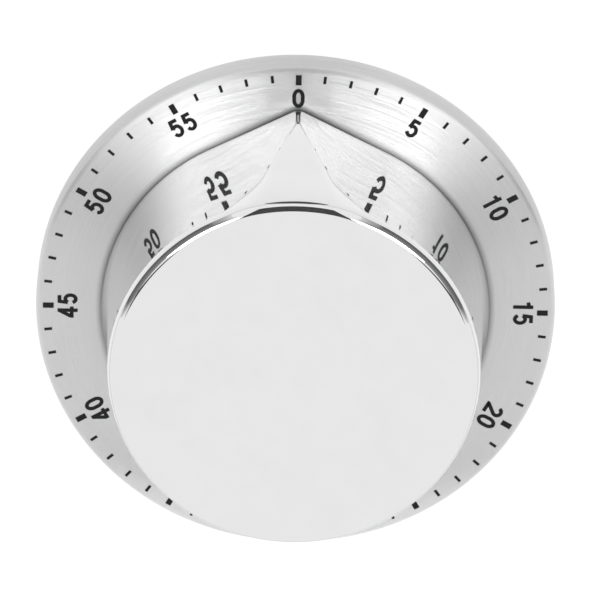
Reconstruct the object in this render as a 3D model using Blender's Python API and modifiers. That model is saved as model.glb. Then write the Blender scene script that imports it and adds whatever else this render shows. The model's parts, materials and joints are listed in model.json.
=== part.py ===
"""Mechanical 60 minute kitchen timer, lying on its back.

+Z is the dial's normal, the zero mark lies towards +Y and the origin is at the middle of the foot.
Lengths are in millimetres and angles in degrees; the helpers turn them into metres and radians.
A pair such as (3.0, 9.0) is a bottom and a top height above the foot.
"""

import math

import bmesh
import bpy
from mathutils import Matrix

MM = 0.001
WELD = 1e-6

# Case
BODY_R = 37.5
DIAL_Z = 7.0
EDGE_R = 0.65
SHEET = 0.8
WALL_BOTTOM = 1.6
DIAL_HOLE_R = 24.6
GAP = 0.3
FLOOR = (1.0, 2.4)
HOUSING_R = BODY_R - SHEET - GAP
HOUSING_RIM = 1.4
SPIGOT_R = (25.8, 27.2)
GROOVE_DEPTH = 0.9
FOOT_R = (31.9, 34.5)
MAGNET_R = 6.0
MAGNET = (0.5, 2.3)
MAGNET_PLACE = 22.0
MAGNET_ANGLES = (37.0, 147.0, 261.0)
MAGNET_COVER = 1.1
POST_R = 3.0
BOSS_R = 3.2
OVERLAP = 0.4
BEYOND = 1.0
SOUND_HOLE_R = 1.3
SOUND_PLACE = 9.5
CASE_SCREW_SEAT = 2.6

# Knob: a hollow ground teardrop that narrows upwards, trimmed by a cone whose top is the shoulder
KNOB_Z = DIAL_Z + 0.35
KNOB_TOP = 30.92
SHOULDER_Z = 29.27
SHOULDER_R = 26.466
TOP_R = 25.0
RIM_R = 1.33
FLARE = 0.5
CONE_SLOPE = 0.263
KNOB_BASE_R = 28.13
KNOB_DRAFT = 0.020
FOOT_FLARE = 1.265
FOOT_HEIGHT = 6.8
NOSE_R = 31.2
BEAK_HALF_ANGLE = 26.9
TIP_FILL = 0.45
TIP_RANGE = (4.0, 12.0)
TIP_HEIGHT = 5.0
BROW = 0.3
BROW_FADE = (12.0, 26.0)
BROW_START = DIAL_Z + 14.0
HALVINGS = 30
SIDE_ROWS = 5
KNOB_WALL = 1.5

# Movement frame
LOWER_PLATE = (7.6, 8.6)
UPPER_PLATE = (17.2, 18.2)
PLATE_R = 23.0
PILLAR_R = 1.7
PILLAR_PLACE = 21.0
PILLAR_ANGLES = (97.0, 197.0, 325.0)
SCREW_HOLE_R = 1.2
SCREW_SHANK_R = 1.0
SEAT = 0.2
PIVOT_R = 0.6
PIVOT_HOLE_R = 0.7
HOLE_SIDES = 8
SLOT = 0.4
SHAFT_R = 0.85
SHAFT_HOLE_R = 1.0

# Train: three steps of 36 teeth on 6 leaves, and a strike wheel driven like the second wheel
TEETH = 36
LEAVES = 6
MODULES = (0.53, 0.43, 0.37)
CENTRES = tuple(module * (TEETH + LEAVES) / 2 for module in MODULES)
ESCAPE_TEETH = 20
ESCAPE_R = 4.6
STRIKE_TEETH = 12
STRIKE_R = 6.0
MAIN_WHEEL = (9.0, 9.9)
SECOND_LEAVES = (8.9, 10.1)
RATCHET = (10.2, 11.0)
SECOND_WHEEL = (11.5, 12.2)
THIRD_LEAVES = (11.3, 12.4)
THIRD_WHEEL = (13.1, 13.8)
ESCAPE_LEAVES = (12.9, 14.0)
ESCAPE_WHEEL = (14.6, 15.3)
ANCHOR_R = (ESCAPE_R + 0.9, ESCAPE_R + 1.9)
ANCHOR_HALF = 44.0
STONE_ANGLE = 41.0
BALANCE_WHEEL = (12.3, 13.3)
BALANCE_R = 6.5
BALANCE_RIM = 1.0
ROLLER = (15.6, 16.2)
ROLLER_PIN = (14.7, 15.9)
ROLLER_PIN_PLACE = 1.3
HAIRSPRING = (10.3, 10.9)
HAIRSPRING_R = (1.25, 4.2)

# Arbor, barrel, cam and stop
ARBOR_R = 2.0
ARBOR_FLAT = 1.4
ARBOR_PIVOT_R = (1.5, 1.8)
D_FIT = 0.1
BARREL_R = 12.5
BARREL = (18.5, 23.2)
BARREL_FLOOR = 0.7
FLANGE_R = 15.0
SPRING_THICKNESS = 0.3
CAM = (23.6, 24.4)
CAM_R = 13.0
CAM_GAP = (14.0, 4.5)
CAM_DROP = 1.8
STOP_ARM = (24.8, 25.6)
STOP_PLACE = 16.2
STOP_ANGLE = 60.0
STOP_REST = 4.0
STOP_PIN_R = 0.6
STOP_ARM_HALF = 0.35
HUB = (25.9, 29.1)
HUB_R = 4.0
SOCKET_R = (HUB_R + 0.3, HUB_R + 1.6)
SOCKET_SEAT = 0.1
CLICK_PLACE = 7.0
CLICK_ANGLE = 3.0
CLICK_HOLE_R = 0.8
CLICK_SPRING_R = (8.55, 8.75)

# Bell and hammer
BELL_R = 16.6
BELL_RIM_Z = 3.9
BELL_TOP_Z = 5.7
BELL_SHOULDER_R = 11.0
BELL_HOLE_R = 1.5
HAMMER_LEVEL = (4.3, 5.5)
HAMMER_STAFF_PLACE = 19.5
HAMMER_STAFF_ANGLE = 221.7
HAMMER_HEAD_R = 1.6
HAMMER_HEAD = (3.9, 6.4)
STRIKE_ANGLE = 250.0


def polar(radius, angle, centre=(0.0, 0.0)):
    """The point at a radius and an angle from a centre."""
    turn = math.radians(angle)
    return (centre[0] + radius * math.cos(turn), centre[1] + radius * math.sin(turn))


def direction(start, end):
    """The angle of the line from one point to another."""
    return math.degrees(math.atan2(end[1] - start[1], end[0] - start[0]))


# Arbor positions, from the centre outwards along the train
MAIN = (0.0, 0.0)
SECOND = polar(CENTRES[0], 0.0)
THIRD = polar(CENTRES[1], 96.0, SECOND)
ESCAPE = polar(CENTRES[2], 132.0, THIRD)
PALLET = polar(6.8, 170.0, ESCAPE)
BALANCE = polar(8.5, 212.0, PALLET)
STRIKE = polar(CENTRES[0], STRIKE_ANGLE)
HAMMER = polar(HAMMER_STAFF_PLACE, HAMMER_STAFF_ANGLE)
PILLARS = [polar(PILLAR_PLACE, angle) for angle in PILLAR_ANGLES]
STOP_PIN = polar(STOP_PLACE, STOP_ANGLE)
BARREL_SCREWS = [polar(13.8, angle) for angle in (20.0, 200.0)]
CAM_NOSE = polar(CAM_R + 0.25, STRIKE_ANGLE)
STUD = polar(HAIRSPRING_R[1] + 1.0, 250.0, BALANCE)
CLICK_PIVOT = polar(CLICK_PLACE, CLICK_ANGLE)


def clear_scene():
    for item in list(bpy.data.objects):
        bpy.data.objects.remove(item, do_unlink=True)


def collection(name, helper=False):
    made = bpy.data.collections.new(name)
    made.hide_render = helper
    bpy.context.scene.collection.children.link(made)
    return made


clear_scene()
PARTS = collection("kitchen_timer")
CUTTERS = collection("cutters", helper=True)


def material(name, colour, roughness, metallic=0.0):
    made = bpy.data.materials.new(name)
    made.use_nodes = True
    shader = made.node_tree.nodes["Principled BSDF"]
    shader.inputs["Base Color"].default_value = (*colour, 1.0)
    shader.inputs["Roughness"].default_value = roughness
    shader.inputs["Metallic"].default_value = metallic
    made.diffuse_color = (*colour, 1.0)
    return made


STEEL = ((0.62, 0.62, 0.63), 0.32, 1.0)
BRIGHT = ((0.72, 0.72, 0.74), 0.18, 1.0)
BRASS = ((0.78, 0.58, 0.25), 0.28, 1.0)
CHROME = ((0.90, 0.90, 0.91), 0.03, 1.0)
BLUED = ((0.10, 0.13, 0.28), 0.25, 1.0)
BLACK_PLASTIC = ((0.03, 0.03, 0.03), 0.45, 0.0)
RUBBER = ((0.02, 0.02, 0.02), 0.85, 0.0)
FERRITE = ((0.07, 0.07, 0.08), 0.55, 0.3)


def pivot(name, centre):
    """An empty on a joint's axis, which carries the pieces that turn about it."""
    made = bpy.data.objects.new(name, None)
    made.location = (centre[0] * MM, centre[1] * MM, 0.0)
    made.empty_display_size = 3.0 * MM
    PARTS.objects.link(made)
    return made


def solid(name, mesh, centre=MAIN, into=CUTTERS):
    made = bpy.data.objects.new(name, mesh)
    made.location = (centre[0] * MM, centre[1] * MM, 0.0)
    made.display_type = "WIRE" if into is CUTTERS else "TEXTURED"
    made.hide_render = into is CUTTERS
    into.objects.link(made)
    return made


def evaluated_mesh(source):
    """The object's mesh with its modifiers applied, welded and with its faces pointing out."""
    bpy.context.view_layer.update()
    graph = bpy.context.evaluated_depsgraph_get()
    mesh = bpy.data.meshes.new_from_object(source.evaluated_get(graph))
    work = bmesh.new()
    work.from_mesh(mesh)
    bmesh.ops.remove_doubles(work, verts=work.verts, dist=WELD)
    bmesh.ops.recalc_face_normals(work, faces=work.faces)
    work.to_mesh(mesh)
    work.free()
    return mesh


def turned(name, profile, segments=24, centre=MAIN):
    """A closed profile of (radius, height) points, spun about the vertical axis through the centre."""
    mesh = bpy.data.meshes.new(name)
    work = bmesh.new()
    points = [work.verts.new((radius * MM, 0.0, height * MM)) for radius, height in profile]
    for start, end in zip(points, points[1:] + points[:1]):
        if start.co.x > 0.0 or end.co.x > 0.0:
            work.edges.new((start, end))
    work.to_mesh(mesh)
    work.free()
    made = solid(name, mesh, centre)
    screw = made.modifiers.new("Spin", "SCREW")
    screw.axis = "Z"
    screw.steps = segments
    screw.render_steps = segments
    screw.use_merge_vertices = True
    screw.merge_threshold = WELD
    made.data = evaluated_mesh(made)
    made.modifiers.clear()
    return made


def rod(name, radius, heights, segments=16, centre=MAIN):
    bottom, top = heights
    profile = [(0.0, top), (radius, top), (radius, bottom), (0.0, bottom)]
    return turned(name, profile, segments, centre)


def washer(name, radii, heights, segments=24, centre=MAIN):
    inner, outer = radii
    bottom, top = heights
    profile = [(inner, top), (outer, top), (outer, bottom), (inner, bottom)]
    return turned(name, profile, segments, centre)


def flat(name, loops, heights, centre=MAIN):
    """A flat outline with its holes, as a filled 2D curve extruded between two heights."""
    bottom, top = heights
    curve = bpy.data.curves.new(name, "CURVE")
    curve.dimensions = "2D"
    curve.fill_mode = "BOTH"
    curve.extrude = (top - bottom) / 2 * MM
    for loop in loops:
        spline = curve.splines.new("POLY")
        spline.points.add(len(loop) - 1)
        for point, (x, y) in zip(spline.points, loop):
            point.co = (x * MM, y * MM, 0.0, 1.0)
        spline.use_cyclic_u = True
    source = solid(name, curve, centre)
    mesh = evaluated_mesh(source)
    bpy.data.objects.remove(source, do_unlink=True)
    mesh.transform(Matrix.Translation((0.0, 0.0, (bottom + top) / 2 * MM)))
    return solid(name, mesh, centre)


def box(name, size, middle, centre=MAIN, angle=0.0):
    """A box of a given size, turned about its own middle."""
    work = bmesh.new()
    bmesh.ops.create_cube(work, size=MM)
    bmesh.ops.scale(work, vec=size, verts=work.verts)
    bmesh.ops.rotate(work, matrix=Matrix.Rotation(math.radians(angle), 3, "Z"), verts=work.verts)
    bmesh.ops.translate(work, vec=[value * MM for value in middle], verts=work.verts)
    mesh = bpy.data.meshes.new(name)
    work.to_mesh(mesh)
    work.free()
    return solid(name, mesh, centre)


def combine(target, tools, operation):
    """Joins the tools to the target, or cuts them from it, and removes them."""
    for tool in tools:
        step = target.modifiers.new("Combine", "BOOLEAN")
        step.operation = operation
        step.object = tool
    target.data = evaluated_mesh(target)
    target.modifiers.clear()
    for tool in tools:
        bpy.data.objects.remove(tool, do_unlink=True)
    return target


def joined(target, *tools):
    return combine(target, tools, "UNION")


def cut(target, *tools):
    return combine(target, tools, "DIFFERENCE")


def bored(target, radius, heights, centre):
    """Cuts a round hole right through a flat piece that lies between two heights."""
    return cut(target, rod("hole", radius, (heights[0] - BEYOND, heights[1] + BEYOND), 16, centre))


def finish(piece, name, look, parent=None, smooth_below=35.0):
    """Turns a worked solid into a named part with its own material, on its joint's empty."""
    CUTTERS.objects.unlink(piece)
    PARTS.objects.link(piece)
    piece.name = name
    piece.data.name = name
    piece.display_type = "TEXTURED"
    piece.hide_render = False
    piece.data.materials.clear()
    piece.data.materials.append(material(name, *look))
    piece.data.shade_smooth()
    piece.data.set_sharp_from_angle(angle=math.radians(smooth_below))
    if parent is not None:
        piece.location = piece.location - parent.location
        piece.parent = parent
    return piece


# Outlines


def ring(radius, points=24, centre=MAIN):
    return [polar(radius, 360.0 * step / points, centre) for step in range(points)]


def arc(radius, start, end, points, centre=MAIN):
    return [polar(radius, start + (end - start) * step / (points - 1), centre) for step in range(points)]


def d_hole(clearance):
    """The arbor's D section, grown by a clearance: a circle with a flat on its +X side."""
    radius = ARBOR_R + clearance
    edge = math.degrees(math.acos((ARBOR_FLAT + clearance) / radius))
    return arc(radius, edge, 360.0 - edge, 16)


def gear(teeth, module, phase, shape):
    """Straight sided teeth; shape gives tip and root heights in modules and half widths in half pitches."""
    tip, root, tip_share, root_share = shape
    pitch_r = teeth * module / 2
    pitch = 360.0 / teeth
    points = []
    for tooth in range(teeth):
        middle = phase + tooth * pitch
        points.append(polar(pitch_r - root * module, middle - root_share * pitch / 2))
        points.append(polar(pitch_r + tip * module, middle - tip_share * pitch / 2))
        points.append(polar(pitch_r + tip * module, middle + tip_share * pitch / 2))
        points.append(polar(pitch_r - root * module, middle + root_share * pitch / 2))
    return points


WHEEL_SHAPE = (0.9, 1.3, 0.18, 0.50)
PINION_SHAPE = (0.8, 1.25, 0.12, 0.36)


def round_edge(middle, radius, start, end, steps):
    """Profile points along an arc about a middle, given as (radius, height)."""
    return arc(radius, start, end, steps + 1, middle)


def mesh_phase(phase, towards):
    """The pinion's phase that faces a gap to each tooth of its driving wheel, along the centre line."""
    return towards + 180.0 - TEETH / LEAVES * (phase - towards) - 180.0 / LEAVES


def ratchet_outline(teeth, tip, root, phase, lean):
    """Saw teeth: each rises slowly to its tip and drops steeply after it."""
    points = []
    pitch = 360.0 / teeth
    for tooth in range(teeth):
        middle = phase + tooth * pitch
        points.append(polar(root, middle - lean * pitch))
        points.append(polar(tip, middle))
    return points


def ribbon(inner, outer, turns, thickness, start, steps_per_turn):
    """The outline of a flat spiral spring."""
    count = int(turns * steps_per_turn)
    out, back = [], []
    for step in range(count + 1):
        radius = inner + (outer - inner) * step / count
        angle = start + 360.0 * step / steps_per_turn
        out.append(polar(radius + thickness / 2, angle))
        back.append(polar(radius - thickness / 2, angle))
    return out + back[::-1]


def bar(start, end, width):
    """The outline of a straight bar between two points."""
    along = direction(start, end)
    left, right = along + 90.0, along - 90.0
    half = width / 2
    start_right, start_left = polar(half, right, start), polar(half, left, start)
    end_right, end_left = polar(half, right, end), polar(half, left, end)
    return [start_right, end_right, end_left, start_left]


def offset(centre, points):
    """Points given in the world, seen from a centre."""
    return [(x - centre[0], y - centre[1]) for x, y in points]


# Case


def make_dial_pan():
    """Drawn sheet: a flat dial with a hole under the knob, a small edge radius and a straight wall."""
    inner = DIAL_Z - SHEET
    profile = [(DIAL_HOLE_R, DIAL_Z)]
    profile += round_edge((BODY_R - EDGE_R, DIAL_Z - EDGE_R), EDGE_R, 90.0, 0.0, 3)
    profile += [(BODY_R, WALL_BOTTOM), (BODY_R - SHEET, WALL_BOTTOM)]
    profile += [(BODY_R - SHEET, inner), (DIAL_HOLE_R, inner)]
    finish(turned("pan", profile, 60), "dial_pan", STEEL)


def make_rear_housing():
    """Moulded floor with a rim, a groove for the foot, bosses, magnet pockets and a bell post."""
    bottom, top = FLOOR
    rim = DIAL_Z - SHEET - GAP
    inside, outside = FOOT_R[0] - GAP, FOOT_R[1] + GAP
    ledge = top + 0.6
    profile = [(HOUSING_R, rim), (HOUSING_R, bottom + OVERLAP), (HOUSING_R - OVERLAP, bottom)]
    profile += [(outside, bottom), (outside, bottom + GROOVE_DEPTH), (inside, bottom + GROOVE_DEPTH)]
    profile += [(inside, bottom), (0.0, bottom), (0.0, top)]
    profile += [(SPIGOT_R[0], top), (SPIGOT_R[0], rim), (SPIGOT_R[1], rim), (SPIGOT_R[1], ledge)]
    profile += [(HOUSING_R - HOUSING_RIM, ledge), (HOUSING_R - HOUSING_RIM, rim)]
    housing = turned("housing", profile, 40)
    root, under = top - OVERLAP, bottom - BEYOND
    post = rod("post", POST_R, (root, BELL_TOP_Z - 1.1), 12)
    bosses = [rod("boss", BOSS_R, (root, LOWER_PLATE[0] - GAP), 12, place) for place in PILLARS]
    magnets = [polar(MAGNET_PLACE, angle) for angle in MAGNET_ANGLES]
    pad = (MAGNET_R + 1.6, (root, MAGNET[1] + MAGNET_COVER), 20)
    joined(housing, post, *bosses, *[rod("pad", *pad, place) for place in magnets])
    pockets = [rod("pocket", MAGNET_R + GAP, (under, MAGNET[1] + GAP), 20, place) for place in magnets]
    sinks = [rod("sink", 2 * SCREW_HOLE_R, (under, CASE_SCREW_SEAT + GAP), 12, place) for place in PILLARS]
    holes = [rod("hole", SCREW_HOLE_R, (under, LOWER_PLATE[1]), 10, place) for place in PILLARS]
    bell_hole = rod("hole", SCREW_HOLE_R + 0.1, (top - BEYOND, BELL_TOP_Z), 10)
    sound = [polar(SOUND_PLACE, 30.0 + 60.0 * step) for step in range(6)]
    sound = [rod("sound", SOUND_HOLE_R, (under, top + BEYOND), 10, place) for place in sound]
    cut(housing, bell_hole, *pockets, *sinks, *holes, *sound)
    finish(housing, "rear_housing", BLACK_PLASTIC)


def make_foot_ring():
    inner, outer = FOOT_R
    top = FLOOR[0] + GROOVE_DEPTH - GAP
    profile = [(inner, top), (outer, top)]
    profile += round_edge((outer - GAP, GAP), GAP, 0.0, -90.0, 2)
    profile += round_edge((inner + GAP, GAP), GAP, -90.0, -180.0, 2)
    finish(turned("foot", profile, 40), "foot_ring", RUBBER)


def make_magnets():
    for number, angle in enumerate(MAGNET_ANGLES, 1):
        disc = rod("magnet", MAGNET_R, MAGNET, 20, polar(MAGNET_PLACE, angle))
        finish(disc, f"magnet_{number}", FERRITE)


def screw_solid(radii, heights, centre):
    """A slotted screw; heights are the shank's far end, the head's seat and the head's outer face."""
    head_r, shank_r = radii
    far, seat, face = heights
    profile = [(0.0, face), (head_r, face), (head_r, seat), (shank_r, seat), (shank_r, far), (0.0, far)]
    if face < far:
        profile.reverse()
    made = turned("screw", profile, 12, centre)
    slot = box("slot", (head_r * 3, SLOT, 2 * SLOT), (0.0, 0.0, face), centre, 40.0)
    return cut(made, slot)


def make_case_screws():
    for number, place in enumerate(PILLARS, 1):
        made = screw_solid((2.0, SCREW_SHANK_R), (11.2, CASE_SCREW_SEAT, CASE_SCREW_SEAT - 1.1), place)
        finish(made, f"case_screw_{number}", STEEL)


# Movement frame


def make_plates():
    """Two round plates that carry the arbors, drilled for the pivots, the pillars and the stop pin."""
    arbors = [SECOND, THIRD, ESCAPE, PALLET, BALANCE, STRIKE]
    pivots = [ring(PIVOT_HOLE_R, HOLE_SIDES, place) for place in arbors]
    pillars = [ring(SCREW_HOLE_R, HOLE_SIDES, place) for place in PILLARS]
    staff = ring(SHAFT_HOLE_R, 12, HAMMER)
    stud = ring(PIVOT_HOLE_R, HOLE_SIDES, STUD)
    lower = [ring(PLATE_R, 40), ring(1.65, 12), *pivots, *pillars, staff, stud]
    finish(flat("plate", lower, LOWER_PLATE), "lower_plate", BRASS)
    screws = [ring(PIVOT_HOLE_R, HOLE_SIDES, place) for place in BARREL_SCREWS]
    upper = [ring(PLATE_R, 40), ring(ARBOR_R - 0.05, 12), *pivots, *pillars, staff, *screws]
    upper.append(ring(STOP_PIN_R + 0.1, HOLE_SIDES, STOP_PIN))
    finish(flat("plate", upper, UPPER_PLATE), "upper_plate", BRASS)


def make_pillars():
    """Spacers between the plates, with a blind hole in each end for the screws."""
    bottom, top = LOWER_PLATE[1] + SEAT, UPPER_PLATE[0] - SEAT
    hole = SCREW_HOLE_R
    profile = [(0.0, top - 3.4), (hole, top - 3.4), (hole, top), (PILLAR_R, top)]
    profile += [(PILLAR_R, bottom), (hole, bottom), (hole, bottom + 3.0), (0.0, bottom + 3.0)]
    for number, place in enumerate(PILLARS, 1):
        finish(turned("pillar", profile, 12, place), f"pillar_{number}", BRASS)


def make_plate_screws():
    top = UPPER_PLATE[1] + SEAT
    for number, place in enumerate(PILLARS, 1):
        made = screw_solid((1.9, SCREW_SHANK_R), (top - 4.4, top, top + 0.9), place)
        finish(made, f"plate_screw_{number}", STEEL)


def make_stop_pin():
    finish(rod("pin", STOP_PIN_R, (UPPER_PLATE[0], STOP_ARM[1]), 12, STOP_PIN), "stop_pin", STEEL)


def make_spring_barrel():
    """Open drum for the mainspring, with a flange that is screwed to the upper plate."""
    bottom, top = BARREL
    floor = bottom + BARREL_FLOOR
    bore = ARBOR_R + 0.6
    profile = [(bore, floor), (BARREL_R - SHEET, floor), (BARREL_R - SHEET, top), (BARREL_R, top)]
    profile += [(BARREL_R, floor), (FLANGE_R, floor), (FLANGE_R, bottom), (bore, bottom)]
    barrel = turned("barrel", profile, 32)
    holes = [rod("hole", 0.8, (bottom - BEYOND, floor + BEYOND), 10, place) for place in BARREL_SCREWS]
    finish(cut(barrel, *holes), "spring_barrel", STEEL)
    for number, place in enumerate(BARREL_SCREWS, 1):
        made = screw_solid((1.1, 0.6), (UPPER_PLATE[0], floor + 0.1, floor + 0.8), place)
        finish(made, f"barrel_screw_{number}", STEEL)


def make_mainspring():
    radii = (ARBOR_R + 2 * SPRING_THICKNESS, BARREL_R - SHEET - SPRING_THICKNESS - 0.1)
    outline = ribbon(*radii, 4.0, SPRING_THICKNESS, 0.0, 14)
    spring = flat("spring", [outline], (BARREL[0] + BARREL_FLOOR + SEAT, BARREL[1] - GAP))
    finish(spring, "mainspring", BLUED)


def make_bell():
    """Shallow dished gong, open side down, on the housing's middle post."""
    top, rim = BELL_TOP_Z, BELL_RIM_Z
    profile = [(BELL_HOLE_R, top), (BELL_SHOULDER_R, top - SEAT), (BELL_R - 0.6, rim + 0.6), (BELL_R, rim)]
    profile += [(BELL_R - 0.9, rim), (BELL_SHOULDER_R - SEAT, top - 1.0), (BELL_HOLE_R, top - SHEET)]
    finish(turned("bell", profile, 32), "bell", BRIGHT)
    screw = screw_solid((2.4, 1.1), (FLOOR[1] + 0.5, top + SEAT, top + SEAT + 0.9), MAIN)
    finish(screw, "bell_screw", STEEL)


# Knob and what turns with it


def ease(value, start, end):
    """0 before the start, 1 after the end, and a smooth step between."""
    share = min(max((value - start) / (end - start), 0.0), 1.0)
    return share * share * (3.0 - 2.0 * share)


def side_radius(angle, height):
    """The teardrop at an angle from the beak: a flared foot under a near upright wall, and a flat nose."""
    away = abs(angle)
    above = height - DIAL_Z
    radius = KNOB_BASE_R - KNOB_DRAFT * above - FOOT_FLARE * (1.0 - math.exp(-above / FOOT_HEIGHT))
    radius += TIP_FILL * (1.0 - ease(away, *TIP_RANGE)) * ease(above, 0.0, TIP_HEIGHT)
    if away >= BEAK_HALF_ANGLE:
        return radius
    side = radius / math.cos(math.radians(BEAK_HALF_ANGLE - away))
    return min(side, (NOSE_R - KNOB_DRAFT * above) / math.cos(math.radians(away)))


def brow(angle):
    """How far the rim stands forward over the beak."""
    return BROW * (1.0 - ease(abs(angle), *BROW_FADE))


def cone_radius(angle, height):
    """The turned cone that trims the beak's upper side."""
    forward = brow(angle) * ease(height, BROW_START, SHOULDER_Z)
    return SHOULDER_R + CONE_SLOPE * (SHOULDER_Z - height) + forward


def crossing_height(angle):
    """Where the side meets the cone, or the start of the flare under the rim if they meet above it."""
    low, high = KNOB_Z, SHOULDER_Z - FLARE
    if side_radius(angle, high) <= cone_radius(angle, high):
        return high
    for _ in range(HALVINGS):
        middle = (low + high) / 2
        if side_radius(angle, middle) < cone_radius(angle, middle):
            low = middle
        else:
            high = middle
    return low


def knob_angles():
    """Angles from the beak's middle, with one on each corner of the nose and where each side ends."""
    turn = math.radians(BEAK_HALF_ANGLE)
    corner = math.degrees(math.atan((KNOB_BASE_R / NOSE_R - math.cos(turn)) / math.sin(turn)))
    half = [0.0] + [corner + (BEAK_HALF_ANGLE - corner) * step / 8 for step in range(8)]
    half += [BEAK_HALF_ANGLE + (180.0 - BEAK_HALF_ANGLE) * step / 22 for step in range(22)]
    return half + [180.0] + [-angle for angle in half[:0:-1]]


def knob_column(angle, inset):
    """(radius, height) up the side at one angle: the teardrop, the cone above it, and the round rim."""
    crossing = crossing_height(angle)
    column = []
    for row in range(SIDE_ROWS + 1):
        share = row / SIDE_ROWS
        height = KNOB_Z + (crossing - KNOB_Z) * share
        column.append((side_radius(angle, height) - inset, height - inset * share))
    column.append((cone_radius(angle, SHOULDER_Z) - inset, SHOULDER_Z - inset))
    lean = math.degrees(math.atan(CONE_SLOPE))
    stretch = 1.0 + brow(angle) / RIM_R
    for radius, height in round_edge((0.0, KNOB_TOP - inset - RIM_R), RIM_R, lean, 90.0, 3):
        column.append((TOP_R - inset + radius * stretch, height))
    return column


def knob_skin(work, inset):
    """Lofts the columns round the knob and closes the top; gives back the open bottom edge."""
    columns = []
    for angle in knob_angles():
        column = []
        for radius, height in knob_column(angle, inset):
            x, y = polar(radius, 90.0 + angle)
            column.append(work.verts.new((x * MM, y * MM, height * MM)))
        columns.append(column)
    for column, after in zip(columns, columns[1:] + columns[:1]):
        for step in range(len(column) - 1):
            work.faces.new((column[step], after[step], after[step + 1], column[step + 1]))
    work.faces.new([column[-1] for column in columns])
    return [column[0] for column in columns]


def make_knob_shell(parent):
    """Hollow knob: an outer and an inner skin joined round the open bottom."""
    work = bmesh.new()
    outer = knob_skin(work, 0.0)
    inner = knob_skin(work, KNOB_WALL)
    for step in range(len(outer)):
        after = (step + 1) % len(outer)
        work.faces.new((outer[step], outer[after], inner[after], inner[step]))
    bmesh.ops.remove_doubles(work, verts=work.verts, dist=WELD)
    bmesh.ops.recalc_face_normals(work, faces=work.faces)
    mesh = bpy.data.meshes.new("knob")
    work.to_mesh(mesh)
    work.free()
    finish(solid("knob", mesh), "knob_shell", CHROME, parent, 20.0)


def make_hub_socket(parent):
    """Collar under the knob's roof that the hub is pressed into."""
    collar = washer("socket", SOCKET_R, (HUB[0], KNOB_TOP - KNOB_WALL - SOCKET_SEAT), 24)
    finish(collar, "hub_socket", STEEL, parent)


def make_knob_hub(parent):
    hub = flat("hub", [ring(HUB_R, 24), d_hole(D_FIT)], HUB)
    finish(hub, "knob_hub", BLACK_PLASTIC, parent)


def make_main_arbor(parent):
    """Pivots in both plates, a round middle, and a flatted upper end for the cam, stop arm and hub."""
    top = HUB[1] - 0.5
    lower_r, upper_r = ARBOR_PIVOT_R
    foot, rest = LOWER_PLATE[0] + 0.1, LOWER_PLATE[1] + SEAT
    profile = [(0.0, top), (ARBOR_R, top), (ARBOR_R, UPPER_PLATE[1] + SEAT), (upper_r, UPPER_PLATE[1] + 0.1)]
    profile += [(upper_r, UPPER_PLATE[0] - SEAT), (ARBOR_R, UPPER_PLATE[0] - 2 * SEAT), (ARBOR_R, rest)]
    profile += [(lower_r, rest), (lower_r, foot), (0.0, foot)]
    arbor = turned("arbor", profile, 16)
    flat_length = top - BARREL[1] + 1.0
    side = box("flat", (2.0, 6.0, flat_length), (ARBOR_FLAT + 1.0, 0.0, BARREL[1] + flat_length / 2), MAIN)
    finish(cut(arbor, side), "main_arbor", STEEL, parent)


def make_cam_disc(parent):
    """Disc that holds the hammer away from the bell, with one gap that frees it near zero."""
    gap_start, gap_end = STRIKE_ANGLE - CAM_GAP[0], STRIKE_ANGLE + CAM_GAP[1]
    edge = arc(CAM_R, gap_end, gap_start + 360.0, 44)
    gap = arc(CAM_R - CAM_DROP, gap_start, gap_end, 4)
    finish(flat("cam", [edge + gap, d_hole(D_FIT)], CAM), "cam_disc", STEEL, parent)


def make_stop_arm(parent):
    """Arm that meets the stop pin at both ends of the knob's travel."""
    angle = STOP_ANGLE - STOP_REST
    tip = polar(STOP_PLACE + 1.0, angle)
    root = math.degrees(math.asin(STOP_ARM_HALF / HUB_R))
    hub = arc(HUB_R, angle + root, angle + 360.0 - root, 20)
    left, right = polar(STOP_ARM_HALF, angle + 90.0, tip), polar(STOP_ARM_HALF, angle - 90.0, tip)
    finish(flat("arm", [hub + [right, left], d_hole(D_FIT)], STOP_ARM), "stop_arm", STEEL, parent)


def make_main_wheel(parent):
    loops = [gear(TEETH, MODULES[0], 0.0, WHEEL_SHAPE), ring(ARBOR_R + 0.1, 20)]
    loops.append(ring(CLICK_HOLE_R, 10, CLICK_PIVOT))
    finish(flat("wheel", loops, MAIN_WHEEL), "main_wheel", BRASS, parent)


def make_click(parent):
    """Ratchet wheel on the arbor, and the sprung click on the main wheel that drives it one way."""
    ratchet = flat("ratchet", [ratchet_outline(12, 4.6, 3.7, 0.0, 0.85), ring(ARBOR_R + 0.1, 20)], RATCHET)
    finish(ratchet, "ratchet_wheel", STEEL, parent)
    nose = [polar(4.75, CLICK_ANGLE - 31.0), polar(6.0, CLICK_ANGLE - 26.0)]
    heel = [polar(8.1, CLICK_ANGLE - 4.0), polar(8.3, CLICK_ANGLE + 8.0), polar(6.6, CLICK_ANGLE + 10.0)]
    belly = [polar(5.6, CLICK_ANGLE - 4.0), polar(5.0, CLICK_ANGLE - 18.0)]
    click = flat("click", [nose + heel + belly, ring(CLICK_HOLE_R, 10, CLICK_PIVOT)], RATCHET)
    finish(click, "click", STEEL, parent)
    pin = rod("pin", CLICK_HOLE_R - 0.15, (MAIN_WHEEL[0], RATCHET[1]), 10, CLICK_PIVOT)
    finish(pin, "click_pin", STEEL, parent)
    start, end = CLICK_ANGLE - 60.0, CLICK_ANGLE
    spring = arc(CLICK_SPRING_R[1], start, end, 9) + arc(CLICK_SPRING_R[0], end, start, 9)
    finish(flat("spring", [spring], RATCHET), "click_spring", BLUED, parent)


# Train


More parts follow.
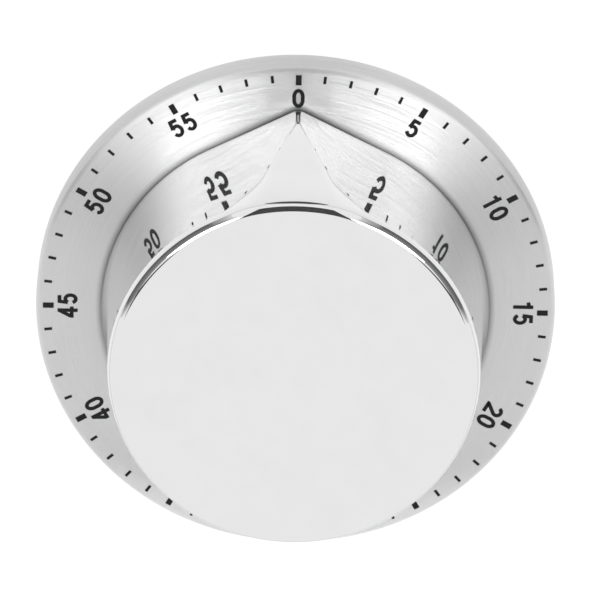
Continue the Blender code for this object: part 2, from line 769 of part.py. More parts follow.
# A staff runs between the plates, with a thinner pivot at each end
STAFF_PROFILE = [
    (0.0, UPPER_PLATE[1] - 0.1),
    (PIVOT_R, UPPER_PLATE[1] - 0.1),
    (PIVOT_R, UPPER_PLATE[0] - SEAT),
    (SHAFT_R - 0.1, UPPER_PLATE[0] - SEAT),
    (SHAFT_R - 0.1, LOWER_PLATE[1] + SEAT),
    (PIVOT_R, LOWER_PLATE[1] + SEAT),
    (PIVOT_R, LOWER_PLATE[0] + 0.1),
    (0.0, LOWER_PLATE[0] + 0.1),
]


def make_pinion(name, place, phase, module, leaves, parent):
    """A staff with a pivot at each end and leaves cut at one height."""
    staff = turned("staff", STAFF_PROFILE, 10, place)
    teeth = flat("leaves", [gear(LEAVES, module, phase, PINION_SHAPE)], leaves, place)
    finish(joined(staff, teeth), name, STEEL, parent)


def make_wheel(name, place, phase, module, level, parent):
    loops = [gear(TEETH, module, phase, WHEEL_SHAPE), ring(SHAFT_R, 12)]
    finish(flat("wheel", loops, level, place), name, BRASS, parent)


def make_train():
    """Second and third wheels, the escape wheel and the strike wheel, each with its pinion."""
    second = pivot("second_axis", SECOND)
    phase = mesh_phase(0.0, direction(MAIN, SECOND))
    make_pinion("second_pinion", SECOND, phase, MODULES[0], SECOND_LEAVES, second)
    towards = direction(SECOND, THIRD)
    make_wheel("second_wheel", SECOND, towards, MODULES[1], SECOND_WHEEL, second)
    third = pivot("third_axis", THIRD)
    make_pinion("third_pinion", THIRD, mesh_phase(towards, towards), MODULES[1], THIRD_LEAVES, third)
    towards = direction(THIRD, ESCAPE)
    make_wheel("third_wheel", THIRD, towards, MODULES[2], THIRD_WHEEL, third)
    escape = pivot("escape_axis", ESCAPE)
    phase = mesh_phase(towards, towards)
    make_pinion("escape_pinion", ESCAPE, phase, MODULES[2], ESCAPE_LEAVES, escape)
    outline = ratchet_outline(ESCAPE_TEETH, ESCAPE_R, ESCAPE_R - 1.0, 0.0, 0.7)
    wheel = flat("wheel", [outline, ring(SHAFT_R, 12)], ESCAPE_WHEEL, ESCAPE)
    finish(wheel, "escape_wheel", BRASS, escape)
    strike = pivot("strike_axis", STRIKE)
    phase = mesh_phase(0.0, direction(MAIN, STRIKE))
    make_pinion("strike_pinion", STRIKE, phase, MODULES[0], SECOND_LEAVES, strike)
    outline = ratchet_outline(STRIKE_TEETH, STRIKE_R, STRIKE_R - 1.3, 0.0, 0.7)
    wheel = flat("wheel", [outline, ring(SHAFT_R, 12)], SECOND_WHEEL, STRIKE)
    finish(wheel, "strike_wheel", BRASS, strike)


def make_pallet():
    """Anchor that embraces the escape wheel, with a fork bar towards the balance."""
    parent = pivot("pallet_axis", PALLET)
    finish(turned("staff", STAFF_PROFILE, 10, PALLET), "pallet_staff", STEEL, parent)
    back = direction(ESCAPE, PALLET)
    start, end = back - ANCHOR_HALF, back + ANCHOR_HALF
    yoke = arc(ANCHOR_R[1], start, end, 8, ESCAPE) + arc(ANCHOR_R[0], end, start, 8, ESCAPE)
    anchor = flat("anchor", [offset(PALLET, yoke)], ESCAPE_WHEEL, PALLET)
    hub = flat("hub", [ring(1.5, 12)], ESCAPE_WHEEL, PALLET)
    stones = []
    for angle in (back - STONE_ANGLE, back + STONE_ANGLE):
        tip, root = polar(ESCAPE_R + 0.5, angle, ESCAPE), polar(ANCHOR_R[1] - 0.2, angle, ESCAPE)
        stones.append(flat("stone", [offset(PALLET, bar(tip, root, 0.7))], ESCAPE_WHEEL, PALLET))
    fork_end = polar(6.1, direction(PALLET, BALANCE))
    fork = flat("fork", [bar(MAIN, fork_end, 0.9)], ESCAPE_WHEEL, PALLET)
    lever = joined(anchor, hub, fork, *stones)
    finish(bored(lever, SHAFT_R, ESCAPE_WHEEL, PALLET), "pallet_lever", STEEL, parent)


def make_balance():
    """Balance wheel with its staff, roller and hairspring."""
    parent = pivot("balance_axis", BALANCE)
    finish(turned("staff", STAFF_PROFILE, 10, BALANCE), "balance_staff", STEEL, parent)
    inner = BALANCE_R - BALANCE_RIM
    rim = flat("rim", [ring(BALANCE_R, 24), ring(inner, 24)], BALANCE_WHEEL, BALANCE)
    hub = flat("hub", [ring(1.7, 12)], BALANCE_WHEEL, BALANCE)
    spokes = []
    for angle in (30.0, 150.0, 270.0):
        spoke = bar(polar(0.4, angle), polar(inner + OVERLAP, angle), 0.9)
        spokes.append(flat("spoke", [spoke], BALANCE_WHEEL, BALANCE))
    wheel = bored(joined(rim, hub, *spokes), SHAFT_R, BALANCE_WHEEL, BALANCE)
    finish(wheel, "balance_wheel", BRASS, parent)
    roller = flat("roller", [ring(1.7, 16), ring(SHAFT_R, 12)], ROLLER, BALANCE)
    pin = rod("pin", 0.3, ROLLER_PIN, 8, polar(ROLLER_PIN_PLACE, direction(BALANCE, PALLET), BALANCE))
    finish(joined(roller, pin), "balance_roller", STEEL, parent)
    spring = flat("spring", [ribbon(*HAIRSPRING_R, 3.0, 0.12, 250.0, 14)], HAIRSPRING, BALANCE)
    finish(spring, "hairspring", BLUED, parent)
    stud = rod("stud", PIVOT_R, (LOWER_PLATE[0] + 0.1, HAIRSPRING[1]), 12, STUD)
    finish(stud, "hairspring_stud", STEEL)


def make_hammer():
    """Upright staff with the hammer below, a tail at the strike wheel and a follower at the cam."""
    parent = pivot("hammer_axis", HAMMER)
    staff = rod("staff", SHAFT_R, (HAMMER_LEVEL[0] - GAP, CAM[1]), 12, HAMMER)
    finish(staff, "hammer_staff", STEEL, parent)
    head_place = polar(BELL_R + HAMMER_HEAD_R + 1.4, HAMMER_STAFF_ANGLE + 40.0)
    hub = flat("hub", [ring(2.0, 16)], HAMMER_LEVEL, HAMMER)
    reach = polar(math.dist(HAMMER, head_place), direction(HAMMER, head_place))
    arm = flat("arm", [bar(MAIN, reach, 1.3)], HAMMER_LEVEL, HAMMER)
    arm = bored(joined(hub, arm), SHAFT_HOLE_R, HAMMER_LEVEL, HAMMER)
    finish(bored(arm, HAMMER_HEAD_R + SEAT, HAMMER_LEVEL, head_place), "hammer_arm", STEEL, parent)
    finish(rod("head", HAMMER_HEAD_R, HAMMER_HEAD, 16, head_place), "hammer_head", BRASS, parent)
    reach = polar(math.dist(HAMMER, STRIKE) - STRIKE_R - 0.4, direction(HAMMER, STRIKE))
    hub = flat("hub", [ring(1.7, 16)], SECOND_WHEEL, HAMMER)
    tail = flat("tail", [bar(MAIN, reach, 0.8)], SECOND_WHEEL, HAMMER)
    tail = bored(joined(hub, tail), SHAFT_HOLE_R, SECOND_WHEEL, HAMMER)
    finish(tail, "strike_tail", STEEL, parent)
    nose = (CAM_NOSE[0] - HAMMER[0], CAM_NOSE[1] - HAMMER[1])
    hub = flat("hub", [ring(1.8, 16)], CAM, HAMMER)
    elbow = polar(math.dist(MAIN, nose) - 0.4, direction(MAIN, nose) - 14.0)
    arm = flat("arm", [bar(MAIN, elbow, 1.0)], CAM, HAMMER)
    heel = polar(0.4, direction(nose, elbow) + 180.0, elbow)
    tip = flat("tip", [bar(heel, nose, 0.7)], CAM, HAMMER)
    follower = bored(joined(hub, arm, tip), SHAFT_HOLE_R, CAM, HAMMER)
    finish(follower, "cam_follower", STEEL, parent)


def make_knob():
    parent = pivot("knob_axis", MAIN)
    make_knob_shell(parent)
    make_hub_socket(parent)
    make_knob_hub(parent)
    make_main_arbor(parent)
    make_cam_disc(parent)
    make_stop_arm(parent)
    make_main_wheel(parent)
    make_click(parent)


make_dial_pan()
make_rear_housing()
make_foot_ring()
make_magnets()
make_case_screws()
make_plates()
make_pillars()
make_plate_screws()
make_stop_pin()
make_spring_barrel()
make_mainspring()
make_bell()
make_knob()
make_train()
make_pallet()
make_balance()
make_hammer()
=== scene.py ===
import json
import math

import bmesh
import bpy
from mathutils import Matrix, Vector


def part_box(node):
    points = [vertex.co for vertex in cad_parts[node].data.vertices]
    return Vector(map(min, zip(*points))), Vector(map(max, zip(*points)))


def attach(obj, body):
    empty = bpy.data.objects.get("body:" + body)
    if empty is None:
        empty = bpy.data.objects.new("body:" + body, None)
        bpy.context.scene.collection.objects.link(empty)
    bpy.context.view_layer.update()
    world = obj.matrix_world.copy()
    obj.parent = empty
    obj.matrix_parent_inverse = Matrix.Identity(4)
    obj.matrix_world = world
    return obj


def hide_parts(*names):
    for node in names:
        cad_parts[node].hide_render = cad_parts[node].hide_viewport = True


# A kitchen timer lying on its back. +Z leaves the dial and the zero mark lies towards +Y.
# Lengths are in metres, except where a section says plain millimetres.
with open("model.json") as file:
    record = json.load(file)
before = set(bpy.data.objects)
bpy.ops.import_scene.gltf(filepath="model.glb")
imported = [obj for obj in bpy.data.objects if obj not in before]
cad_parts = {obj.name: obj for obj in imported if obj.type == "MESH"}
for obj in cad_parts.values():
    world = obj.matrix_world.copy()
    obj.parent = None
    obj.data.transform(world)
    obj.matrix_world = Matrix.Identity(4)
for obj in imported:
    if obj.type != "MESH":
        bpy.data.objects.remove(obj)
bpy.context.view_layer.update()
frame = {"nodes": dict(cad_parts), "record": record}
nodes = frame["nodes"]
MM = 0.001
WELD = 1e-7

# Sizes read from the frame, with a trim that keeps rounded numbers inside its box
TRIM = 0.001 * MM
BODY_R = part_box("dial_pan")[1].x - TRIM
DIAL_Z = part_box("dial_pan")[1].z
WALL_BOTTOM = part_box("dial_pan")[0].z
KNOB_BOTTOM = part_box("knob_shell")[0].z
KNOB_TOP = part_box("knob_shell")[1].z

# Dial and its print; the digit shapes are in plain millimetres
SHEET = 0.8 * MM
EDGE_R = 0.65 * MM
DIAL_HOLE_R = 24.6 * MM
LIP_R = 0.2 * MM
HOLE_FLAT = 1.0 * MM
EDGE_FLAT = 0.5 * MM
DIAL_STEPS = 240
INK = 0.03 * MM
TICK_END = 36.46 * MM
MINOR_TICK = (1.10 * MM, 0.40 * MM)
MAJOR_TICK = (1.53 * MM, 0.81 * MM)
NUMERAL_R = 32.9 * MM
DIGIT_HALF_HEIGHT = 1.18
DIGIT_HALF_WIDTH = 0.61
STROKE = 0.52
STROKE_STEP = 0.2
DIGIT_STEP = 2.1 * MM

# Knob, in plain millimetres with heights from the dial: a hollow ground teardrop, trimmed by a turned cone,
# with a round rim and a flat top
BASE_R = 28.13
WALL_DRAFT = 0.020
FOOT_FLARE = 1.265
FOOT_HEIGHT = 6.8
SHOULDER_H = 22.27
SHOULDER_R = 26.466
CONE_SLOPE = 0.263
BEAK_HALF = math.radians(26.9)
TIP_FILL = 0.45
TIP_RANGE = (math.radians(4.0), math.radians(12.0))
TIP_HEIGHT = 5.0
NOSE_R = 31.2
NOSE_DRAFT = 0.02
NOSE_ROUND = 1.0
NOSE_EDGE = math.radians(1.4)
NOSE_BLEND = 0.07
FACET_BLEND = 0.5
BLEND_START = (math.radians(2.0), math.radians(9.0))
BLEND_FADE = (math.radians(14.0), math.radians(24.0))
FLARE = 0.5
SKIRT_ROUND = 0.35
LEAST_BLEND = 0.03
TOP_R = 25.0
RIM_ARC = 1.33
BROW = 0.3
BROW_FADE = (math.radians(12.0), math.radians(26.0))
BROW_START = 14.0
KNOB_WALL = 1.5
FINE_ANGLE = math.radians(36.0)
FINE_STEPS = 144
COARSE_STEPS = 110
SKIRT_STEPS = 6
WALL_STEPS = 66
RIM_STEPS = 18
KNOB_BASE_H = (KNOB_BOTTOM - DIAL_Z) / MM
KNOB_TOP_H = (KNOB_TOP - DIAL_Z) / MM

# Looks: how much of the chrome is mirror, and how far and how dark the painted corner shade on the brushing
# reaches
CHROME_SHARE = 0.965
PAINTED_SHADE_REACH = 1.1 * MM
PAINTED_SHADE_TONE = 0.20

# Studio: strengths, and a flag's glow at its top and ends with the share of it that stays dark
SKY_STRENGTH = 0.97
SOFTBOX_STRENGTH = 6.2
FLOOR_STRENGTH = 0.95
FLOOR_R = 6.0
SHADE_LIFT = 0.1 * MM
FLAG_LIFT = 0.2 * MM
FLAG_STEPS = 16
FLAG_ARC = (30.0, 88.0)
FLAG_R = 0.105
FLAG_HEIGHT = 0.115
FLAG_TOP = 0.22
FLAG_END = 0.7
FLAG_DARK = 0.75
LAMP_HEIGHT = 57.0
LAMP_DISTANCE = 1.8

# Camera, from the dial's middle: it leans towards the zero mark
CAMERA_TILT = math.radians(23.937)
CAMERA_YAW = math.radians(-0.145)
CAMERA_ROLL = math.radians(-0.872)
CAMERA_OFFSET = Vector((-0.676, -1.315, -1043.5)) * MM
CAMERA_LENS = 433.4
SENSOR = 36.0
CLIP_START = 0.01


def polar(radius, angle):
    """The point at a radius and an angle in radians, measured clockwise from the zero mark."""
    return radius * math.sin(angle), radius * math.cos(angle)


# Camera


def make_camera():
    """A long lens that looks down at the dial from the zero mark's side."""
    turn = Matrix.Rotation(CAMERA_ROLL, 3, "Z") @ Matrix.Rotation(CAMERA_TILT, 3, "X")
    turn = turn @ Matrix.Rotation(CAMERA_YAW, 3, "Y")
    data = bpy.data.cameras.new("camera")
    data.lens = CAMERA_LENS
    data.sensor_width = SENSOR
    data.clip_start = CLIP_START
    camera = bpy.data.objects.new("camera", data)
    back = turn.transposed()
    place = Vector((0.0, 0.0, DIAL_Z)) - back @ CAMERA_OFFSET
    camera.matrix_world = Matrix.Translation(place) @ back.to_4x4()
    bpy.context.scene.collection.objects.link(camera)
    bpy.context.scene.camera = camera


make_camera()
bpy.context.scene.view_settings.view_transform = "Standard"


class Nodes:
    """A material's node tree, with short calls for the nodes that the looks need."""

    def __init__(self, name):
        self.material = bpy.data.materials.new(name)
        self.material.use_nodes = True
        self.tree = self.material.node_tree
        self.shader = self.tree.nodes["Principled BSDF"]

    def add(self, kind, **settings):
        node = self.tree.nodes.new("ShaderNode" + kind)
        for key, value in settings.items():
            setattr(node, key, value)
        return node

    def link(self, source, target):
        self.tree.links.new(source, target)

    def math(self, operation, *values):
        node = self.add("Math", operation=operation)
        for socket, value in zip(node.inputs, values):
            if isinstance(value, (int, float)):
                socket.default_value = value
            else:
                self.link(value, socket)
        return node.outputs[0]

    def place(self):
        """The object's own X, Y and Z."""
        split = self.add("SeparateXYZ")
        self.link(self.add("TexCoord").outputs["Object"], split.inputs[0])
        return split.outputs

    def around(self):
        """Distance from the knob's axis, the two parts of the direction from it, and height."""
        x, y, z = self.place()
        radius = self.math("SQRT", self.math("ADD", self.math("MULTIPLY", x, x), self.math("MULTIPLY", y, y)))
        return radius, self.math("DIVIDE", x, radius), self.math("DIVIDE", y, radius), z

    def combine(self, *values):
        node = self.add("CombineXYZ")
        for socket, value in zip(node.inputs, values):
            if isinstance(value, (int, float)):
                socket.default_value = value
            else:
                self.link(value, socket)
        return node.outputs[0]

    def noise(self, vector, scale, detail=3.0, roughness=0.6):
        node = self.add("TexNoise")
        node.inputs["Scale"].default_value = scale
        node.inputs["Detail"].default_value = detail
        node.inputs["Roughness"].default_value = roughness
        if vector is not None:
            self.link(vector, node.inputs["Vector"])
        else:
            self.link(self.add("TexCoord").outputs["Object"], node.inputs["Vector"])
        return node.outputs["Fac"]

    def spread(self, value, low, high, start=0.3, end=0.7):
        """Maps a value from start..end to low..high."""
        node = self.add("MapRange")
        self.link(value, node.inputs["Value"])
        for key, number in (("From Min", start), ("From Max", end), ("To Min", low), ("To Max", high)):
            node.inputs[key].default_value = number
        return node.outputs[0]

    def shade(self, value, dark, light, start=0.3, end=0.7):
        """Maps a value to a colour between two others."""
        node = self.add("ValToRGB")
        first, last = node.color_ramp.elements
        first.position, last.position = start, end
        first.color, last.color = (*dark, 1.0), (*light, 1.0)
        self.link(value, node.inputs[0])
        self.link(node.outputs[0], self.shader.inputs["Base Color"])

    def sheltered(self, distance, darkest):
        """Paints shade into the colour in narrow corners, where ambient occlusion finds them."""
        # painted shade: ambient occlusion darkens the base colour in corners
        occlusion_shade = self.add("AmbientOcclusion", samples=8)
        occlusion_shade.inputs["Distance"].default_value = distance
        lit_share = self.spread(occlusion_shade.outputs["AO"], darkest, 1.0, 0.35, 1.0)
        socket = self.shader.inputs["Base Color"]
        mix = self.add("VectorMath", operation="SCALE")
        self.link(socket.links[0].from_socket, mix.inputs[0])
        self.link(lit_share, mix.inputs["Scale"])
        self.link(mix.outputs[0], socket)

    def rough(self, value, low, high, start=0.3, end=0.7):
        self.link(self.spread(value, low, high, start, end), self.shader.inputs["Roughness"])

    def bump(self, height, distance, strength=1.0):
        node = self.add("Bump")
        node.inputs["Strength"].default_value = strength
        node.inputs["Distance"].default_value = distance
        self.link(height, node.inputs["Height"])
        self.link(node.outputs[0], self.shader.inputs["Normal"])

    def metal(self, anisotropy=0.0, share=1.0):
        """A metal, brushed round Z where it is anisotropic; a share under 1 leaves a little haze."""
        self.shader.inputs["Metallic"].default_value = share
        self.shader.inputs["Anisotropic"].default_value = anisotropy
        if anisotropy:
            tangent = self.add("Tangent", direction_type="RADIAL", axis="Z")
            self.link(tangent.outputs[0], self.shader.inputs["Tangent"])
            self.shader.inputs["Anisotropic Rotation"].default_value = 0.25


def brushed_steel():
    """Sheet brushed in rings about the knob: long fine lines round the axis, uneven across the radius, with
    painted shade that colours the side wall darker than the face.
    """
    look = Nodes("brushed_steel")
    radius, east, north, height = look.around()
    across = look.math("SUBTRACT", radius, height)
    layers = []
    for density, length, share in ((14000.0, 3.0, 0.65), (3600.0, 1.0, 0.35)):
        ring = look.math("MULTIPLY", across, density)
        place = look.combine(ring, look.math("MULTIPLY", east, length), look.math("MULTIPLY", north, length))
        layers.append(look.math("MULTIPLY", look.noise(place, 1.0), share))
    grain = look.math("ADD", *layers)
    # painted shade: below the dial's round edge the side wall's colour is made darker
    wall = look.spread(height, 1.0, 0.0, DIAL_Z - EDGE_R, DIAL_Z - 0.1 * MM)
    grain_and_wall_shade = look.math("SUBTRACT", grain, look.math("MULTIPLY", wall, 0.35))
    look.metal(0.92)
    look.shade(grain_and_wall_shade, (0.64, 0.64, 0.645), (0.93, 0.93, 0.935), 0.0, 0.7)
    # painted shade: the brushed steel's colour is darkened in corners, beside the knob and round the dial's
    # edge
    look.sheltered(PAINTED_SHADE_REACH, PAINTED_SHADE_TONE)
    look.rough(grain_and_wall_shade, 0.26, 0.60, 0.0, 0.65)
    look.bump(grain, 0.002 * MM)
    return look.material


def mirror_chrome():
    """Polished plate with faint haze and hairline wear."""
    look = Nodes("chrome")
    haze = look.noise(None, 180.0)
    look.metal(share=CHROME_SHARE)
    look.shade(haze, (0.805, 0.805, 0.808), (0.825, 0.825, 0.828))
    look.rough(haze, 0.015, 0.03)
    return look.material


def dial_ink():
    look = Nodes("dial_ink")
    speck = look.noise(None, 6000.0, 2.0)
    look.shade(speck, (0.010, 0.010, 0.010), (0.022, 0.022, 0.023))
    look.rough(speck, 0.45, 0.62)
    look.shader.inputs["Specular IOR Level"].default_value = 0.1
    look.bump(speck, 0.002 * MM)
    return look.material


def turned_steel(name, dark, light, roughness=(0.22, 0.36)):
    """Ground and turned small parts: fine rings and a little stain."""
    look = Nodes(name)
    stain = look.noise(None, 350.0)
    lines = look.noise(None, 9000.0, 2.0)
    look.metal()
    look.shade(stain, dark, light)
    look.rough(lines, *roughness)
    look.bump(lines, 0.002 * MM)
    return look.material


def moulded(name, dark, light, roughness, grain, depth):
    """Moulded plastic or rubber with a fine spark texture."""
    look = Nodes(name)
    fine = look.noise(None, grain, 4.0)
    patch = look.noise(None, 220.0)
    look.shade(patch, dark, light)
    look.rough(fine, *roughness)
    look.bump(fine, depth)
    return look.material


STEEL_LOOK = brushed_steel()
CHROME_LOOK = mirror_chrome()
INK_LOOK = dial_ink()
LOOKS = {
    "brushed_steel": STEEL_LOOK,
    "chrome": CHROME_LOOK,
    "steel": turned_steel("turned_steel", (0.50, 0.50, 0.51), (0.68, 0.68, 0.69)),
    "bell_metal": turned_steel("bell_metal", (0.66, 0.66, 0.68), (0.78, 0.78, 0.80), (0.10, 0.20)),
    "brass": turned_steel("satin_brass", (0.66, 0.46, 0.17), (0.82, 0.62, 0.28)),
    "blued_steel": turned_steel("blued_steel", (0.05, 0.07, 0.20), (0.12, 0.15, 0.34), (0.18, 0.28)),
    "black_plastic": moulded(
        "black_plastic", (0.018, 0.018, 0.019), (0.030, 0.030, 0.031), (0.38, 0.55), 5000.0, 0.02 * MM
    ),
    "rubber": moulded(
        "black_rubber", (0.012, 0.012, 0.012), (0.024, 0.024, 0.024), (0.65, 0.85), 3500.0, 0.03 * MM
    ),
    "ferrite": moulded(
        "ferrite", (0.05, 0.05, 0.055), (0.09, 0.09, 0.095), (0.45, 0.60), 4000.0, 0.01 * MM
    ),
}


def dress_frame():
    """Gives every carried over node the material of its slot in the record."""
    for entry in frame["record"]["subparts"]:
        look = LOOKS[entry["material_slot"]]
        node = nodes[entry["node"]]
        node.data.materials.clear()
        node.data.materials.append(look)


dress_frame()


def piece(name, mesh, look, body, slot_name, *replaced):
    """A visible mesh that moves with a body, and stands for the nodes it replaces."""
    made = bpy.data.objects.new(name, mesh)
    bpy.context.scene.collection.objects.link(made)
    mesh.materials.append(look)
    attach(made, body)
    if replaced:
        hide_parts(*replaced)
    return made


def finish_mesh(work, name, sharp_degrees=25.0):
    """Welds a mesh under construction, turns its faces outwards and shades it smooth."""
    bmesh.ops.remove_doubles(work, verts=work.verts, dist=WELD)
    bmesh.ops.recalc_face_normals(work, faces=work.faces)
    mesh = bpy.data.meshes.new(name)
    work.to_mesh(mesh)
    work.free()
    mesh.shade_smooth()
    mesh.set_sharp_from_angle(angle=math.radians(sharp_degrees))
    return mesh


def turned(name, profile, steps, sharp_degrees=25.0):
    """A closed profile of (radius, height) points spun about the knob's axis."""
    work = bmesh.new()
    points = [work.verts.new((radius, 0.0, height)) for radius, height in profile]
    edges = [work.edges.new(pair) for pair in zip(points, points[1:] + points[:1])]
    bmesh.ops.spin(
        work,
        geom=points + edges,
        axis=(0.0, 0.0, 1.0),
        cent=(0.0, 0.0, 0.0),
        steps=steps,
        angle=2.0 * math.pi,
        use_merge=True,
    )
    return finish_mesh(work, name, sharp_degrees)


def quarter(middle, radius, start, end, steps=8):
    """Points of a round edge about a middle (radius, height), from one angle in degrees to another."""
    found = []
    for step in range(steps + 1):
        turn = math.radians(start + (end - start) * step / steps)
        found.append((middle[0] + radius * math.cos(turn), middle[1] + radius * math.sin(turn)))
    return found


def make_dial():
    """The drawn pan: flat face, round edge, straight wall with a rolled lip, and the hole's turned edge."""
    profile = [(DIAL_HOLE_R, DIAL_Z), (DIAL_HOLE_R + HOLE_FLAT, DIAL_Z)]
    profile += [(BODY_R - EDGE_R - EDGE_FLAT, DIAL_Z)]
    profile += quarter((BODY_R - EDGE_R, DIAL_Z - EDGE_R), EDGE_R, 90.0, 0.0, 10)
    profile += quarter((BODY_R - LIP_R, WALL_BOTTOM + LIP_R), LIP_R, 0.0, -90.0, 4)
    profile += quarter((BODY_R - SHEET + LIP_R, WALL_BOTTOM + LIP_R), LIP_R, -90.0, -180.0, 4)
    profile += [(BODY_R - SHEET, DIAL_Z - SHEET), (DIAL_HOLE_R, DIAL_Z - SHEET)]
    mesh = turned("dial_face", profile, DIAL_STEPS)
    piece("dial_face", mesh, STEEL_LOOK, "case", "brushed_steel", "dial_pan")


def make_ticks():
    """Sixty printed minute marks, wider and longer at each fifth minute, as one thin raised layer."""
    work = bmesh.new()
    for minute in range(60):
        length, width = MAJOR_TICK if minute % 5 == 0 else MINOR_TICK
        made = bmesh.ops.create_cube(work, size=1.0)["verts"]
        bmesh.ops.scale(work, vec=(width, length, 2.0 * INK), verts=made)
        bmesh.ops.translate(work, vec=(0.0, TICK_END - length / 2.0, DIAL_Z), verts=made)
        turn = Matrix.Rotation(-math.tau * minute / 60.0, 3, "Z")
        bmesh.ops.rotate(work, matrix=turn, verts=made)
    piece("minute_marks", finish_mesh(work, "minute_marks"), INK_LOOK, "case", "dial_ink")


def arc(middle, radii, start, end, steps=14):
    """Points of an elliptical arc, angles in degrees anticlockwise from +X."""
    found = []
    for step in range(steps + 1):
        turn = math.radians(start + (end - start) * step / steps)
        found.append((middle[0] + radii[0] * math.cos(turn), middle[1] + radii[1] * math.sin(turn)))
    return found


def digit_strokes():
    """The middle lines of the digits 0 to 5, in millimetres about each digit's middle."""
    wide, tall = DIGIT_HALF_WIDTH, DIGIT_HALF_HEIGHT
    reach = tall + STROKE / 2.0
    edge = wide + STROKE / 2.0
    waist = -0.42
    bend = tall - 0.28
    zero = arc((0.0, 0.28), (wide, bend), 0.0, 180.0)
    zero += arc((0.0, -0.28), (wide, bend), 180.0, 360.0)
    two = arc((0.0, tall - wide), (wide, wide), 168.0, -35.0)
    two += [(-wide, -tall + 0.02), (-wide, -tall), (edge, -tall)]
    upper = (tall - 0.08) / 2.0
    lower = (tall + 0.08) / 2.0
    three = arc((-0.02, tall - upper), (0.56, upper), 155.0, -90.0)
    three_foot = arc((-0.02, -tall + lower), (wide, lower), 90.0, -158.0)
    five = [(0.55, tall), (-0.42, tall), (-0.57, -0.02)]
    bowl = arc((-0.02, -tall + 0.76), (wide, 0.76), 148.0, -155.0)
    return {
        0: [zero + zero[:1]],
        1: [[(0.16, -reach), (0.16, reach)], [(0.16, 1.02), (-0.12, 0.82), (-0.58, 0.72)]],
        2: [two],
        3: [three, three_foot],
        4: [[(0.30, -reach), (0.30, reach)], [(0.24, tall), (-wide, waist)], [(-edge, -0.60), (edge, -0.60)]],
        5: [five, bowl],
    }


def stroke_faces(work, line, width, low, high):
    """A bar of even width drawn along a line of points, closed at both ends."""
    sections = []
    closed = line[0] == line[-1]
    for step, point in enumerate(line):
        before = line[step - 1] if step else line[-2] if closed else point
        after = line[step + 1] if step + 1 < len(line) else line[1] if closed else point
        first = Vector((point[0] - before[0], point[1] - before[1])).normalized()
        second = Vector((after[0] - point[0], after[1] - point[1])).normalized()
        along = (first + second).normalized()
        lean = max(along.dot(second if second.length else first), 0.5)
        aside = Vector((-along.y, along.x)) * (width / 2.0 / lean)
        ends = ((point[0] + aside.x, point[1] + aside.y), (point[0] - aside.x, point[1] - aside.y))
        corners = [(*ends[0], low), (*ends[1], low), (*ends[1], high), (*ends[0], high)]
        sections.append([work.verts.new(corner) for corner in corners])
    for one, other in zip(sections, sections[1:]):
        for corner in range(4):
            after = (corner + 1) % 4
            work.faces.new((one[corner], one[after], other[after], other[corner]))
    if not closed:
        work.faces.new(sections[0])
        work.faces.new(sections[-1])


def make_numerals():
    """The minutes 0 to 55 printed clockwise, each with its top towards the rim."""
    shapes = digit_strokes()
    work = bmesh.new()
    for minute in range(0, 60, 5):
        text = str(minute)
        turn = Matrix.Rotation(-math.tau * minute / 60.0, 4, "Z")
        for place, character in enumerate(text):
            aside = (place - (len(text) - 1) / 2.0) * DIGIT_STEP
            digit = bmesh.new()
            for layer, line in enumerate(shapes[int(character)]):
                stroke_faces(digit, line, STROKE, -INK / MM, INK / MM * (1.0 - STROKE_STEP * layer))
            mesh = bpy.data.meshes.new("digit")
            digit.to_mesh(mesh)
            digit.free()
            mesh.transform(turn @ Matrix.Translation((aside, NUMERAL_R, DIAL_Z)) @ Matrix.Scale(MM, 4))
            work.from_mesh(mesh)
            bpy.data.meshes.remove(mesh)
    piece("numerals", finish_mesh(work, "numerals"), INK_LOOK, "case", "dial_ink")


def ease(value, start, end):
    """0 before the start, 1 after the end, and a smooth step between."""
    share = min(max((value - start) / (end - start), 0.0), 1.0)
    return share * share * (3.0 - 2.0 * share)


def meet(one, other, blend):
    """The smaller of two radii, with a round of the given breadth where they meet."""
    near = max(blend - abs(one - other), 0.0) / blend
    return min(one, other) - near * near * blend / 4.0


def brow(angle):
    """How far the rim stands forward over the beak."""
    return BROW * (1.0 - ease(abs(angle), *BROW_FADE))


def cone_radius(angle, height):
    """The turned cone that trims the beak's upper side."""
    forward = brow(angle) * ease(height, BROW_START, SHOULDER_H)
    return SHOULDER_R + CONE_SLOPE * (SHOULDER_H - height) + forward


def knob_radius(angle, height):
    """The knob's radius at an angle from the beak and a height above the dial, all but the rim."""
    away = abs(angle)
    radius = BASE_R - WALL_DRAFT * height - FOOT_FLARE * (1.0 - math.exp(-height / FOOT_HEIGHT))
    radius += TIP_FILL * (1.0 - ease(away, *TIP_RANGE)) * ease(height, 0.0, TIP_HEIGHT)
    if away < BEAK_HALF:
        bow = 1.0 - NOSE_ROUND * min(away, NOSE_EDGE) ** 2
        nose = (NOSE_R - NOSE_DRAFT * height) * bow / math.cos(away)
        radius = meet(radius / math.cos(BEAK_HALF - away), nose, NOSE_BLEND)
    blend = FACET_BLEND * ease(away, *BLEND_START) * (1.0 - ease(away, *BLEND_FADE)) + LEAST_BLEND
    radius = meet(radius, cone_radius(angle, height), blend)
    flare = ease(height, SHOULDER_H - FLARE, SHOULDER_H)
    radius += (cone_radius(angle, height) - radius) * flare
    low = max(KNOB_BASE_H + SKIRT_ROUND - height, 0.0)
    return radius - SKIRT_ROUND + math.sqrt(SKIRT_ROUND * SKIRT_ROUND - low * low)


def knob_angles():
    """Angles from the beak, finer across it and its blends."""
    half = [FINE_ANGLE * step / FINE_STEPS for step in range(FINE_STEPS)]
    half += [FINE_ANGLE + (math.pi - FINE_ANGLE) * step / COARSE_STEPS for step in range(COARSE_STEPS)]
    return half + [math.pi] + [-angle for angle in half[:0:-1]]


